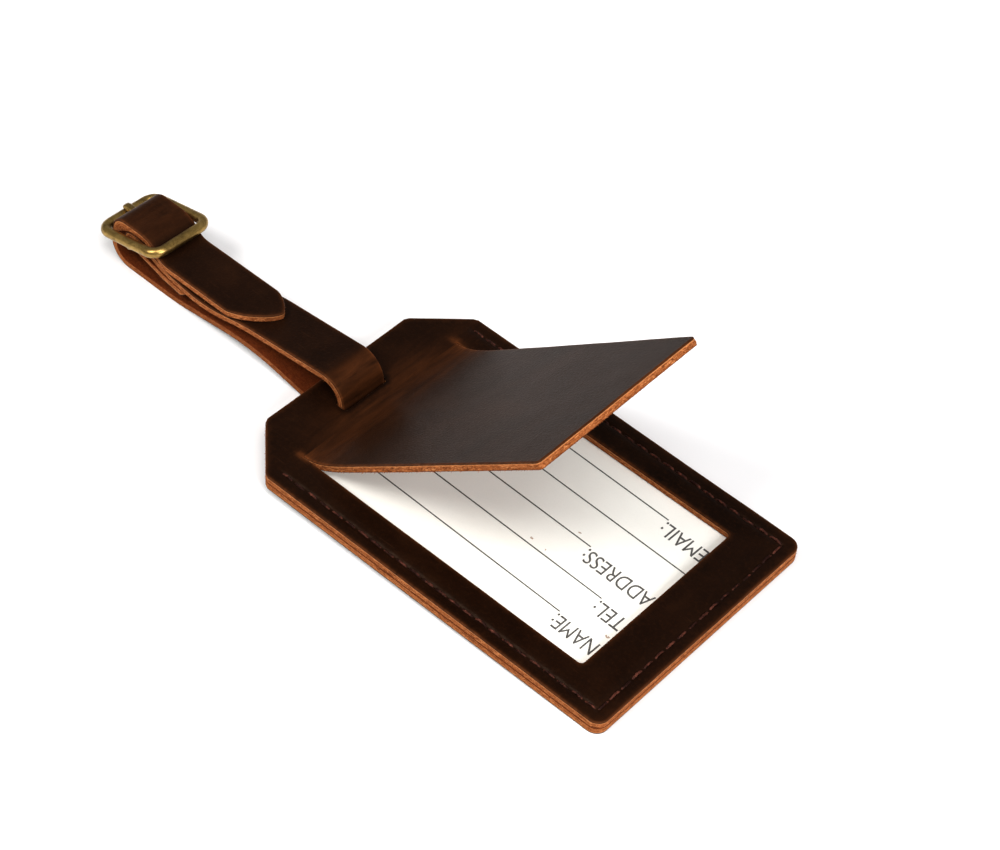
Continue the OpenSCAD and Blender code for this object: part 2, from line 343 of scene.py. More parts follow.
def loose_fibres(shape, uncut, base, up, density):
    """Short tapered fibres that stick out of the flesh side of the cut edges, density to a mm."""
    rng = np.random.default_rng(21)
    points, faces = [], []
    for loop, out in [(shape[0], -1.0)] + [(h, 1.0) for h in shape[1]]:
        if not density:
            break
        p = np.array(loop)
        side = (offset_points(loop, out) - p)[:, :2]
        for i, q in enumerate(p):
            length = np.linalg.norm(p[(i + 1) % len(p)] - q)
            if uncut and distance(q[None], uncut)[0] < 0.6:
                continue
            for _ in range(rng.poisson(density * length)):
                run, reach = rng.normal(0, 0.5), 0.12 + 0.4 * rng.random() ** 2
                along = np.array([-side[i][1], side[i][0]])
                root = np.append(q - 0.08 * side[i] + along * rng.uniform(0, length), base + up * rng.uniform(0, 0.8))
                way = np.append(side[i] + along * run, up * rng.uniform(-0.8, 0.25))
                tip = root + way / np.linalg.norm(way) * (reach + 0.08)
                r = rng.uniform(0.03, 0.06)
                start = len(points)
                points += [root + [0, 0, r * 1.2], root + np.append(along * r, -r * 0.6),
                           root - np.append(along * r, r * 0.6), tip]
                faces += [[start, start + 1, start + 3], [start + 1, start + 2, start + 3],
                          [start + 2, start, start + 3], [start, start + 2, start + 1]]
    return np.array(points).reshape(-1, 3), faces


def solid_mesh(name, points, faces, kinds=None, sharp=45, **extra):
    """A mesh object from points in millimetres, with extra values stored on its points."""
    mesh = bpy.data.meshes.new(name)
    mesh.from_pydata((points * MM).tolist(), [], [[int(i) for i in f] for f in faces])
    if kinds is not None:
        mesh.polygons.foreach_set("material_index", np.array(kinds, np.int32))
    for key, values in extra.items():
        vector = values.ndim == 2
        attribute = mesh.attributes.new(key, "FLOAT_VECTOR" if vector else "FLOAT", "POINT")
        attribute.data.foreach_set("vector" if vector else "value", values.astype(np.float32).ravel())
    mesh.validate()
    outward(mesh)
    mesh.shade_smooth()
    mesh.set_sharp_from_angle(angle=math.radians(sharp))
    obj = bpy.data.objects.new(name, mesh)
    scene.collection.objects.link(obj)
    return obj


def outward(mesh):
    work = bmesh.new()
    work.from_mesh(mesh)
    bmesh.ops.recalc_face_normals(work, faces=work.faces)
    work.to_mesh(mesh)
    work.free()


# ---- swept wire and thread ----


def swept(path, across, size, sides=12, lobes=0, lobe=0.0, twist=0.0, closed=False, square=2.0):
    """Points and faces of a bar swept along a flat path. size is its half width across the
    path's plane and half height in it, one pair for each point. Lobes make twisted plies."""
    path, size = np.array(path, float), np.array(size, float)
    ahead = np.gradient(path, axis=0)
    if closed:
        ahead = np.roll(path, -1, 0) - np.roll(path, 1, 0)
    ahead /= np.linalg.norm(ahead, axis=1)[:, None]
    side = np.array(across, float)
    up = np.cross(side, ahead)
    run = np.concatenate([[0], np.cumsum(np.linalg.norm(np.diff(path, axis=0), axis=1))])
    points = []
    for k in range(sides):
        q = 2 * math.pi * k / sides
        swell = 1 + lobe * np.cos(lobes * q - twist * run) if lobes else 1.0
        c = math.copysign(abs(math.cos(q)) ** (2 / square), math.cos(q))
        s = math.copysign(abs(math.sin(q)) ** (2 / square), math.sin(q))
        points.append(path + side * (size[:, :1] * c * np.reshape(swell, (-1, 1)) if lobes else size[:, :1] * c)
                      + up * (size[:, 1:] * s * np.reshape(swell, (-1, 1)) if lobes else size[:, 1:] * s))
    points = np.stack(points, 1)
    n = len(path)
    faces = []
    for i in range(n if closed else n - 1):
        j = (i + 1) % n
        for k in range(sides):
            m = (k + 1) % sides
            faces.append([i * sides + k, i * sides + m, j * sides + m, j * sides + k])
    if not closed:
        faces.append([k for k in range(sides)][::-1])
        faces.append([(n - 1) * sides + k for k in range(sides)])
    return points.reshape(-1, 3), faces


def gathered(parts):
    """Several (points, faces) as one."""
    points, faces, start = [], [], 0
    for p, f in parts:
        points.append(p)
        faces += [[i + start for i in face] for face in f]
        start += len(p)
    return np.concatenate(points), faces


# ---- strap route ----


def rounded_route(route):
    """Dense rows of x, z, thickness, heading and length along straight runs joined by arcs.
    route is a list of (x, z, bend radius, thickness)."""
    rows = [(route[0][0], route[0][1], route[0][3])]
    for a, b, c in zip(route, route[1:], route[2:]):
        corner = np.array(b[:2])
        u, v = np.array(a[:2]) - corner, np.array(c[:2]) - corner
        u, v = u / np.linalg.norm(u), v / np.linalg.norm(v)
        half = math.acos(np.clip(u @ v, -1, 1)) / 2
        centre = corner + (u + v) / np.linalg.norm(u + v) * b[2] / math.sin(half)
        first = corner + u * b[2] / math.tan(half) - centre
        sweep = math.pi - 2 * half
        turn = 1 if v[0] * u[1] - v[1] * u[0] > 0 else -1
        count = max(4, math.ceil(math.degrees(sweep) / 3))
        for k in range(count + 1):
            t = turn * sweep * k / count
            q = (first[0] * math.cos(t) - first[1] * math.sin(t), first[0] * math.sin(t) + first[1] * math.cos(t))
            rows.append((centre[0] + q[0], centre[1] + q[1], b[3]))
    rows.append((route[-1][0], route[-1][1], route[-1][3]))
    rows = np.array(rows)
    gaps = np.diff(rows[:, :2], axis=0)
    keep = np.concatenate([[True], np.hypot(*gaps.T) > 1e-4])
    rows = rows[keep]
    length = np.concatenate([[0], np.cumsum(np.hypot(*np.diff(rows[:, :2], axis=0).T))])
    dense = np.arange(0, length[-1], 0.12)
    x, z, t = (np.interp(dense, length, rows[:, k]) for k in range(3))
    heading = np.unwrap(np.arctan2(np.gradient(z, dense), np.gradient(x, dense)))
    soft = np.ones(5) / 5
    heading = np.convolve(np.pad(heading, 2, mode="edge"), soft, "valid")
    return {"s": dense, "x": x, "z": z, "t": t, "heading": heading}


def wrap_corner(p, side):
    """Height of the fold's corner behind the bar, for a strap that comes from point p."""
    dx, dz = BAR_X - p[0], BAR_Z - p[1]
    a = math.atan2(dz, dx) + side * math.asin(WRAP_R / math.hypot(dx, dz))
    return p[1] + (BAR_X - WRAP_R - p[0]) * math.tan(a)


TAIL_TURN, FOLD_MEET, TIP = (-50.5, 5.55), (-50.0, 7.5), (-17.2, 11.1)
FOLD_X0 = BAR_X - WRAP_R
ROUTE = rounded_route([
    (-43, TAIL_TURN[1], 0, STRAP_T),
    (*TAIL_TURN, 6, STRAP_T),
    (FOLD_X0, wrap_corner(TAIL_TURN, 1), WRAP_R - 0.01, SKIVE_T),
    (FOLD_X0, wrap_corner(FOLD_MEET, -1), WRAP_R - 0.01, SKIVE_T),
    (*FOLD_MEET, 14, STRAP_T),
    (-32, FOLD_MEET[1], 60, STRAP_T),
    (SLOT_X, 12.05, 5.5, STRAP_T),
    (SLOT_X, STRAP_T / 2, 1.1, STRAP_T),
    (-3, STRAP_T / 2, 20, STRAP_T),
    (-21, 4.2, 60, STRAP_T),
    (-46, STRAP_T / 2, 60, STRAP_T),
    (-68.5, STRAP_T / 2, 5, STRAP_T),
    (-66.9, HUMP_Z, 3.2, STRAP_T),
    (-57, HUMP_Z, 7, STRAP_T),
    (-51.5, 10.75, 8, STRAP_T),
    (-33, 10.9, 80, STRAP_T),
    (*TIP, 0, STRAP_T),
])
STRAP_L = float(ROUTE["s"][-1])
END_S = STRAP_L - (TIP[0] - END_BEND) - 0.2  # where the free end shifts


SIDE_BEND, SIDE_X, SIDE_REACH = 1.2, -37.0, 17.0  # the upper strand bows sideways, towards -Y


def along_route(p):
    """Bends a flat strap, with x along it and z = 0 at its middle, along its route."""
    s = np.clip(p[:, 0], 0, STRAP_L)
    x, z, t, h = (np.interp(s, ROUTE["s"], ROUTE[k]) for k in ("x", "z", "t", "heading"))
    off = p[:, 2] * t / STRAP_T
    free = np.clip((s - END_S + 4) / 8, 0, 1)
    upper = np.where(s < 80, np.cos(np.clip((x - SIDE_X) / SIDE_REACH, -1, 1) * math.pi / 2) ** 2, 0)
    y = p[:, 1] - END_SHIFT * free * free * (3 - 2 * free) - SIDE_BEND * upper
    return on_strap(np.stack([x - off * np.sin(h), y, z + off * np.cos(h)], 1))


def route_at(test):
    """Lengths along the route where a test of its x and z holds: the first and the last."""
    found = ROUTE["s"][test(ROUTE["x"], ROUTE["z"], ROUTE["s"])]
    return float(found[0]), float(found[-1])


def strap_outline():
    """Flat outline of the strap. Its free end is cut to a long curve on one side."""
    half, mid = STRAP_W / 2, 2.15
    near, far, fullness = 10.5, 6.5, 1.4
    turns = [(math.sin(math.pi / 2 * k / 14), math.cos(math.pi / 2 * k / 14)) for k in range(15)]
    low = [(STRAP_L - near * (1 - s**fullness), mid - (half + mid) * c**fullness) for s, c in turns]
    high = [(STRAP_L - far * (1 - s**fullness), mid + (half - mid) * c**fullness) for s, c in turns]
    return [(0, half - 0.8), (0, 0.8 - half), (0.8, -half)] + low + high[::-1][1:] + [(0.8, half)]


def strap_holes():
    start, end = route_at(lambda x, z, s: (x < BAR_X + 2.6) & (s < 45))
    slit = box_outline(start, end, -1.3, 1.3, 1.0, 1.0)
    rise = route_at(lambda x, z, s: (s > 120) & (x < BAR_X - 4) & (z > 10.2) & (z < 11.6))
    middle = (rise[0] + rise[1]) / 2
    hole = [(middle + 1.6 * math.cos(q), 1.45 * math.sin(q)) for q in np.linspace(0, 2 * math.pi, 29)[:-1]]
    return [slit, hole]


# ---- the leather pieces ----


def seam_relief(p):
    """The seam pulls the leather into a groove and leaves a soft swelling beside it."""
    d = distance(p, seam_lines())
    within = (np.abs(p[:, 1]) < SEAM_Y) & (p[:, 0] < SEAM_FAR) & (p[:, 0] > SEAM_X)
    swell = np.where(within, 0.24, 0.03) * np.exp(-(((d - 2.0) / 1.1) ** 2))
    along = np.where(np.abs(np.abs(p[:, 1]) - SEAM_Y) < np.abs(p[:, 0] - SEAM_FAR), p[:, 0], p[:, 1])
    pull = 0.8 + 0.2 * np.cos(2 * math.pi * along / STITCH_PITCH)
    return swell - 0.42 * pull * np.exp(-((d / 0.45) ** 2))


def waves(p, size, seed):
    flat = np.column_stack([p, np.zeros(len(p))])
    return size * (fuzz(flat, 0.05, seed) + 0.4 * fuzz(flat, 0.14, seed + 1) + 0.06 * fuzz(flat, 0.5, seed + 2))


def panel_relief(p):
    shared = np.clip(distance(p, [tuple(fold_line())]) / 4, 0, 1)
    return seam_relief(p) + waves(p, 0.11, 1) * shared - 0.02


def build_front_panel():
    outline = resampled(panel_outline(), 0.55)
    holes = [resampled(window_outline(), 0.5), resampled(slot_outline(), 0.5)]
    creases = [(line, (-0.9, -0.6, -0.35, -0.12, 0.12, 0.35, 0.6, 0.9)) for line in seam_lines()]
    return leather("front_panel_leather", (outline, holes), 1.1, PANEL_T, 2 * PANEL_T, on_tag,
                   uncut=[tuple(fold_line())], relief=panel_relief, creases=creases, wear=panel_wear_and_shade,
                   fibres=1.6)


def build_back_panel():
    outline = resampled(panel_outline(), 0.55)
    holes = [resampled(slot_outline(), 0.5)]
    creases = [(line, (-0.9, -0.6, -0.35, -0.12, 0.12, 0.35, 0.6, 0.9)) for line in seam_lines()]
    return leather("back_panel_leather", (outline, holes), 1.1, 0, PANEL_T, on_tag,
                   relief=card_dip, under=lambda p: np.minimum(seam_relief(p), 0), creases=creases,
                   soft=(0.12, 0.26), grain_up=False, fibres=0.8)


def card_dip(p):
    """The pocket that the card lies in, pressed into the back panel's inner side."""
    x = np.minimum(p[:, 0] - CARD_START + 2.2, CARD_END + 0.3 - p[:, 0])
    y = CARD_W / 2 + 0.3 - np.abs(p[:, 1])
    return -0.6 * np.clip(np.minimum(x, y) / 0.5 + 0.5, 0, 1)


def build_flap():
    end = FOLD_X + WINDOW_L - 0.5
    outline = resampled(window_outline(-FLAP_GAP, end), 0.4)
    free = lambda p: waves(p, 0.09, 4) * np.clip((p[:, 0] - FOLD_X) / 6, 0, 1)
    return leather("flap_leather", (outline, []), 1.0, PANEL_T, 2 * PANEL_T, bent_flap,
                   uncut=[tuple(fold_line())], relief=free, under=lambda p: -0.06 - free(p), fray=0.26, wear=flap_wear,
                   fibres=4.5)


def bulge(p, span):
    """How much the leather swells inside a tight bend that spans two lengths along the strap."""
    return np.exp(-(((p[:, 0] - (span[0] + span[1]) / 2) / (0.55 * (span[1] - span[0]))) ** 4))


def build_strap():
    outline = resampled(strap_outline(), 0.4)
    holes = [resampled(h, 0.3) for h in strap_holes()]
    ripple = lambda p: waves(p, 0.05, 9)
    fold = route_at(lambda x, z, s: (s < 45) & (x < BAR_X - 1.2))
    hump = route_at(lambda x, z, s: (s > 120) & (x < BAR_X - 2.4) & (z > 10.4))
    half = STRAP_T / 2
    return leather("strap_leather", (outline, holes), 0.8, -half, half, along_route,
                   relief=lambda p: ripple(p) + 1.1 * bulge(p, fold),
                   under=lambda p: 1.3 * bulge(p, hump) - ripple(p), fray=0.07, wear=strap_wear, fibres=0.9)


# ---- card and print ----


def build_card():
    flat = box_outline(CARD_START, CARD_END, -CARD_W / 2, CARD_W / 2, 0.8, 0.8)
    return leather("name_card", (resampled(flat, 2.0), []), 2.5, CARD_Z - CARD_T, CARD_Z, on_tag,
                   relief=lambda p: waves(p, 0.02, 12), under=lambda p: -waves(p, 0.02, 12), fray=0.0)


ROWS = [("NAME:", 12.1), ("TEL:", 8.1), ("ADDRESS:", 19.5), ("", 0.0), ("EMAIL:", 12.5)]
FIRST_ROW, ROW_PITCH = -16.5, 9.35
TEXT_START, LETTER_H, RULE_W = 95.5, 4.1, 0.34
PRINT_SLOPE = math.radians(-1.1)  # the print runs slightly askew to the card


def printed(p):
    """Places flat print on the card's upper face."""
    turn, pivot = PRINT_SLOPE, np.array([88.0, 0.0])
    q = p[:, :2] - pivot
    c, s = math.cos(turn), math.sin(turn)
    q = np.stack([q[:, 0] * c - q[:, 1] * s, q[:, 0] * s + q[:, 1] * c], 1) + pivot
    return on_tag(np.column_stack([q, CARD_Z + 0.03 + p[:, 2]]))


def label(text, width, y):
    """A printed word that reads towards the strap, its letter tops towards -Y."""
    curve = bpy.data.curves.new("label", "FONT")
    curve.body = text
    curve.resolution_u = 5
    obj = bpy.data.objects.new("label", curve)
    scene.collection.objects.link(obj)
    bpy.context.view_layer.update()
    mesh = bpy.data.meshes.new_from_object(obj.evaluated_get(bpy.context.evaluated_depsgraph_get()))
    p = np.array([v.co for v in mesh.vertices])
    faces = [list(f.vertices) for f in mesh.polygons]
    bpy.data.objects.remove(obj)
    low, high = p.min(0), p.max(0)
    x = TEXT_START - (p[:, 0] - low[0]) / (high[0] - low[0]) * width
    return np.stack([x, y - (p[:, 1] - low[1]) / (high[1] - low[1]) * LETTER_H, 0 * x], 1), faces


def rule(x0, x1, y):
    half = RULE_W / 2
    p = [(x, y + side, 0.0) for x in np.linspace(x0, x1, 30) for side in (-half, half)]
    return np.array(p), [[2 * k, 2 * k + 1, 2 * k + 3, 2 * k + 2] for k in range(29)]


def build_print():
    parts = []
    for k, (text, width) in enumerate(ROWS):
        y = FIRST_ROW + k * ROW_PITCH
        if text:
            parts.append(label(text, width, y - 0.45))
        parts.append(rule(CARD_START + 3, (TEXT_START - width - 0.2) if text else CARD_END - 3, y))
    points, faces = gathered(parts)
    return solid_mesh("card_print", printed(points), faces, flat=points)


# ---- thread ----


def stitch(start, end, base, depth, up=1.0, seed=0):
    """One twisted stitch from hole to hole on a flat face at height base."""
    rng = random.Random(seed)
    a, b = np.array(start), np.array(end)
    span = np.linalg.norm(b - a)
    u = (b - a) / span
    lean, drop = rng.uniform(-0.14, 0.14), rng.uniform(0.0, 0.16)
    path = []
    for k in range(23):
        t = k / 22
        rise = min(1.0, math.sin(math.pi * t) ** 0.55 * 1.08) * (1 - drop)
        x = span * (0.5 - 0.5 * math.cos(math.pi * t)) * 0.6 + span * t * 0.4
        sway = (lean + 0.07 * rng.uniform(-1, 1)) * math.sin(math.pi * t)
        here = a + u * x + sway * np.array([-u[1], u[0]])
        path.append((here[0], here[1], base + up * (rise * (depth + rng.uniform(-0.02, 0.02)) - depth)))
    r = THREAD_D / 2 * rng.uniform(0.66, 0.86)  # pulled tight
    size = [(r, r * 0.92)] * 23
    return swept(path, (-u[1], u[0], 0), size, sides=12, lobes=3, lobe=0.16, twist=5.2)


def seam_thread(name, base, up):
    parts = []
    for n, (a, b) in enumerate(seam_lines()):
        a, b = np.array(a), np.array(b)
        span = np.linalg.norm(b - a)
        count = math.ceil(span / STITCH_PITCH)
        u = (b - a) / span
        for k in range(count):
            step = span / count
            ends = a + u * (k * step + 0.25), a + u * ((k + 1) * step - 0.25)
            parts.append(stitch(*ends, base, 0.95, up, seed=n * 100 + k))
    points, faces = gathered(parts)
    return solid_mesh(name, on_tag(points), faces, sharp=80, flat=points)


def build_fold_thread():
    parts = []
    top, low = FOLD_MEET[1] + STRAP_T / 2, TAIL_TURN[1] - STRAP_T / 2
    for k in (-1, 0, 1):
        y = k * 3.6
        for base, up in ((top - 0.15, 1.0), (low + 0.15, -1.0)):
            parts.append(stitch((-46, y - 1.5), (-46, y + 1.5), base, 0.9, up, seed=500 + k))
    points, faces = gathered(parts)
    return solid_mesh("fold_stitches", on_strap(points), faces, sharp=80, flat=points)


# ---- buckle ----


def build_frame():
    a, b, r = FRAME_HALF, FRAME_SIDE, FRAME_R
    loop = []
    for cx, cy, start in ((a - r, r - b, -90), (a - r, b - r, 0), (r - a, b - r, 90), (r - a, r - b, 180)):
        loop += arc(cx, cy, r, start, start + 90, 14)
    loop = resampled(loop, 0.5)
    flat = [(x, y, 0.0) for x, y in loop]
    swell = 1 + 0.02 * fuzz([(x, y, 4.0) for x, y in loop], 0.35, 6)
    size = np.column_stack([WIRE_D / 2 * swell, WIRE_D / 2 * swell])
    points, faces = swept(flat, (0, 0, 1), size, sides=24, closed=True)
    points = points + (fuzz(points, 0.8, 2) * 0.02)[:, None] * np.array([0, 0, 1.0])
    c, s = math.cos(BUCKLE_TILT), math.sin(BUCKLE_TILT)
    place = np.stack([BAR_X + points[:, 0] * c - points[:, 2] * s, points[:, 1],
                      FRAME_Z + points[:, 0] * s + points[:, 2] * c], 1)
    return solid_mesh("buckle_frame_wire", on_strap(place), faces, flat=points)


def build_bar():
    r, half = BAR_D / 2, FRAME_SIDE
    ends = [(-half - 0.25, 0.5), (-half - 0.12, 0.86), (-half + 0.1, 1.0)]
    ys = ends + [(y, 1.0) for y in np.linspace(0.6 - half, half - 0.6, 34)] + [(-y, k) for y, k in ends[::-1]]
    path = [(BAR_X, y, BAR_Z) for y, k in ys]
    points, faces = swept(path, (1, 0, 0), [(r * k, r * k) for y, k in ys], sides=20)
    return solid_mesh("buckle_bar_pin", on_strap(points), faces, flat=points)


def build_tongue():
    """A flat pin whose thinned end is curled round the bar."""
    eye = BAR_D / 2 + 0.05 + 0.4
    end = BAR_X - FRAME_HALF * math.cos(BUCKLE_TILT) - 0.3
    path, size = [], []
    for k in range(26):
        t = k / 25
        x = end - 0.6 + (BAR_X - 2.2 - end + 0.6) * t
        z = 10.98 + 0.1 * math.sin(math.pi * t) + 0.42 * max(0, (t - 0.75) / 0.25) ** 2
        if t < 0.12:
            z -= 0.18 * (1 - t / 0.12)
        grow = min(1.0, 0.35 + 0.65 * math.sqrt(min(1, t / 0.09)))
        path.append((x, 0, z))
        size.append((1.0 * min(1.0, grow + 0.1), (0.7 - 0.3 * max(0, (t - 0.6) / 0.4)) * grow))
    for k in range(30):
        q = math.radians(112 - 282 * k / 29)
        path.append((BAR_X + eye * math.cos(q), 0, BAR_Z + eye * math.sin(q)))
        size.append((1.0, 0.4))
    points, faces = swept(path, (0, 1, 0), size, sides=20, square=3.2)
    return solid_mesh("buckle_tongue_pin", on_strap(points), faces, sharp=70, flat=points)


# ---- wear and painted shade ----


def spot(p, x, y, rx, ry):
    return np.exp(-(((p[:, 0] - x) / rx) ** 2) - ((p[:, 1] - y) / ry) ** 2)


def panel_wear_and_shade(p):
    """Rubbed marks where the flap's two cuts start, and a soft rub along the fold between them.
    The slot's rim gets none of the edges' paler rub, painted shade where the strap goes in."""
    half = WINDOW_W / 2
    marks = sum(0.5 * spot(p, FOLD_X - 0.6, WINDOW_Y + side * half, 1.6, 0.8) for side in (-1, 1))
    rub = 0.3 * spot(p, FOLD_X, WINDOW_Y + 3, 5.5, 0.8 * half)
    # painted shade: the slot's rim loses the paler rub of the cut edges
    return marks + rub - 0.8 * np.exp(-((distance(p, segments(slot_outline())) / 0.7) ** 2))


def flap_wear(p):
    """The leather is paler where it bends, most at the two ends of the fold."""
    bend = np.exp(-(((p[:, 0] - FOLD_X - 3) / 7) ** 2))
    ends = np.exp(-(((WINDOW_W / 2 - np.abs(p[:, 1] - WINDOW_Y)) / 5) ** 2))
    return bend * (0.24 + 0.2 * ends)


def strap_wear(p):
    """The strap is paler at its bends, most where it rises out of the slot."""
    slot = route_at(lambda x, z, s: (x > SLOT_X - 4.5) & (z > 4))
    hump = route_at(lambda x, z, s: (s > 120) & (z > 11.6) & (x < BAR_X + 5))
    worn = 0.0 * p[:, 0]
    for (a, b), much in ((slot, 0.36), (hump, 0.16)):
        middle, reach = (a + b) / 2, (b - a) / 2 + 1
        worn = worn + much * np.exp(-(((p[:, 0] - middle) / reach) ** 4))
    return worn


# ---- materials ----


def add(tree, kind, inputs=None, **settings):
    """Adds a shader node. Its inputs are numbers, colours or another node's output."""
    made = tree.nodes.new("ShaderNode" + kind)
    for key, value in settings.items():
        setattr(made, key, value)
    for key, value in (inputs or {}).items():
        if isinstance(value, bpy.types.NodeSocket):
            tree.links.new(value, made.inputs[key])
        else:
            made.inputs[key].default_value = value
    return made


def mix(tree, share, a, b, blend="MIX"):
    made = add(tree, "Mix", data_type="RGBA", blend_type=blend)
    for place, value in ((0, share), (6, a), (7, b)):
        if isinstance(value, bpy.types.NodeSocket):
            tree.links.new(value, made.inputs[place])
        else:
            made.inputs[place].default_value = value
    return made.outputs[2]


def ramp(tree, value, *stops):
    """Colours at positions along a value from 0 to 1."""
    made = add(tree, "ValToRGB", {"Fac": value})
    made.color_ramp.elements[0].position, made.color_ramp.elements[0].color = stops[0]
    made.color_ramp.elements[1].position, made.color_ramp.elements[1].color = stops[-1]
    for position, colour in stops[1:-1]:
        made.color_ramp.elements.new(position).color = colour
    return made.outputs["Color"]


def math_node(tree, operation, a, b):
    made = add(tree, "Math", operation=operation)
    for place, value in ((0, a), (1, b)):
        if isinstance(value, bpy.types.NodeSocket):
            tree.links.new(value, made.inputs[place])
        else:
            made.inputs[place].default_value = value
    return made.outputs[0]


def spread(tree, value, low, high, to_low=0.0, to_high=1.0):
    """A value between low and high, stretched to another range and clamped."""
    names = ("From Min", "From Max", "To Min", "To Max")
    made = add(tree, "MapRange", {"Value": value, **dict(zip(names, (low, high, to_low, to_high)))})
    return made.outputs["Result"]


def stored(tree, name):
    """A value stored on the mesh's points: flat coordinates in millimetres, wear or depth."""
    made = add(tree, "Attribute", attribute_name=name)
    return made.outputs["Vector" if name == "flat" else "Fac"]


def stretched(tree, vector, scale):
    made = add(tree, "Mapping", {"Vector": vector, "Scale": scale})
    return made.outputs["Vector"]


def cloud(tree, vector, scale, detail=4.0, rough=0.55, twist=0.0):
    made = add(tree, "TexNoise", {"Vector": vector, "Scale": scale, "Detail": detail, "Roughness": rough,
                                  "Distortion": twist})
    return made.outputs["Fac"]


def cells(tree, vector, scale, feature="F1", output="Distance"):
    made = add(tree, "TexVoronoi", {"Vector": vector, "Scale": scale}, feature=feature)
    return made.outputs[output]


def bump(tree, height, depth_mm, strength=1.0, below=None):
    inputs = {"Height": height, "Distance": depth_mm * MM, "Strength": strength}
    if below is not None:
        inputs["Normal"] = below
    return add(tree, "Bump", inputs).outputs["Normal"]


def new_material(name):
    made = bpy.data.materials.new(name)
    made.use_nodes = True
    tree = made.node_tree
    return made, tree, tree.nodes["Principled BSDF"]


def join(tree, shader, **inputs):
    names = {"colour": "Base Color", "rough": "Roughness", "normal": "Normal", "metal": "Metallic",
             "coat": "Coat Weight", "coat_rough": "Coat Roughness", "specular": "Specular IOR Level", "tint": "Specular Tint",
             "sheen": "Sheen Weight", "sheen_rough": "Sheen Roughness", "sheen_tint": "Sheen Tint"}
    for key, value in inputs.items():
        socket = shader.inputs[names[key]]
        if isinstance(value, bpy.types.NodeSocket):
            tree.links.new(value, socket)
        else:
            socket.default_value = value


def grain_material(name, deep, mid, warm):
    """Oiled pull-up leather: mottled dark brown, paler where it bends or rubs, fine pores."""
    made, tree, shader = new_material(name)
    flat = stored(tree, "flat")
    patches = cloud(tree, flat, 0.055, 5, 0.6, 0.6)
    mottle = cloud(tree, flat, 0.42, 5, 0.65)
    streaks = cloud(tree, stretched(tree, flat, (1.0, 0.16, 1)), 0.5, 5, 0.62, 0.5)
    fine = cloud(tree, flat, 2.6, 4, 0.6)
    colour = ramp(tree, patches, (0.32, deep), (0.55, mid), (0.78, warm))
    colour = mix(tree, spread(tree, mottle, 0.35, 0.75, 0, 0.55), colour, mid)
    colour = mix(tree, spread(tree, fine, 0.5, 0.72, 0, 0.3), colour, deep)
    speckle = cloud(tree, flat, 1.25, 3, 0.7)
    colour = mix(tree, spread(tree, speckle, 0.5, 0.72, 0, 0.4), colour, warm)
    worn = math_node(tree, "MULTIPLY", stored(tree, "wear"), spread(tree, streaks, 0.3, 0.66, 0.3, 1.3))
    colour = mix(tree, worn, colour, (0.14, 0.044, 0.013, 1))
    lines = cloud(tree, stretched(tree, flat, (0.12, 2.4, 1)), 1.3, 3, 0.5, 0.4)
    scratch = spread(tree, lines, 0.66, 0.74, 0, 0.28)
    colour = mix(tree, scratch, colour, (0.05, 0.02, 0.009, 1))
    pores = cells(tree, flat, 1.6, "SMOOTH_F1")
    creased = cells(tree, stretched(tree, flat, (0.8, 1.0, 1.0)), 0.95, "DISTANCE_TO_EDGE")
    height = math_node(tree, "ADD", spread(tree, pores, 0.0, 0.5, 0.6, 0), spread(tree, creased, 0.0, 0.12, 0, 0.5))
    height = math_node(tree, "ADD", height, math_node(tree, "MULTIPLY", speckle, 1.2))
    rough = math_node(tree, "ADD", spread(tree, fine, 0.3, 0.7, 0.38, 0.46), math_node(tree, "MULTIPLY", worn, 0.1))
    join(tree, shader, colour=colour, rough=rough, normal=bump(tree, height, 0.035, 0.7), specular=0.09,
         tint=(1.0, 0.74, 0.54, 1), sheen=0.16, sheen_rough=0.28, sheen_tint=(1.0, 0.52, 0.3, 1))
    return made


def edge_material(name, pale, red, dark, shaded_span=None):
    """Raw cut edge: tan layered fibres under a thin dark grain line. Between two given lengths
    along the piece it gets painted shade, redder and darker."""
    made, tree, shader = new_material(name)
    flat = stored(tree, "flat")
    layers = cloud(tree, stretched(tree, flat, (0.7, 0.7, 3.2)), 1.1, 6, 0.7, 0.8)
    fibres = cloud(tree, stretched(tree, flat, (1.6, 1.6, 1.0)), 3.2, 5, 0.7)
    patches = cloud(tree, flat, 0.16, 3)
    colour = ramp(tree, layers, (0.36, dark), (0.5, red), (0.64, pale))
    colour = mix(tree, spread(tree, patches, 0.38, 0.68, 0, 0.55), colour, red)
    colour = mix(tree, spread(tree, fibres, 0.48, 0.68, 0, 0.62), colour, dark)
    depth = math_node(tree, "ADD", stored(tree, "depth"), spread(tree, fibres, 0.2, 0.8, -0.05, 0.05))
    colour = mix(tree, spread(tree, depth, 0.12, 0.3, 0.6, 0), colour, pale)
    colour = mix(tree, spread(tree, depth, 0.06, 0.14, 0.95, 0), colour, (0.012, 0.005, 0.003, 1))
    colour = mix(tree, spread(tree, depth, 0.88, 1.0, 0, 0.75), colour, dark)
    # painted shade: the edge turns redder and darker between the two lengths
    if shaded_span:
        x = add(tree, "SeparateXYZ", {0: flat}).outputs[0]
        within = math_node(tree, "MULTIPLY", spread(tree, x, shaded_span[0] - 5, shaded_span[0] + 5),
                           spread(tree, x, shaded_span[1] - 5, shaded_span[1] + 5, 1, 0))
        colour = mix(tree, math_node(tree, "MULTIPLY", within, 0.7), colour, red)
        colour = mix(tree, math_node(tree, "MULTIPLY", within, spread(tree, layers, 0.4, 0.6, 0.6, 0.1)), colour, dark)
    height = math_node(tree, "ADD", layers, math_node(tree, "MULTIPLY", fibres, 1.4))
    join(tree, shader, colour=colour, rough=0.88, normal=bump(tree, height, 0.14, 1.0), specular=0.1)
    return made


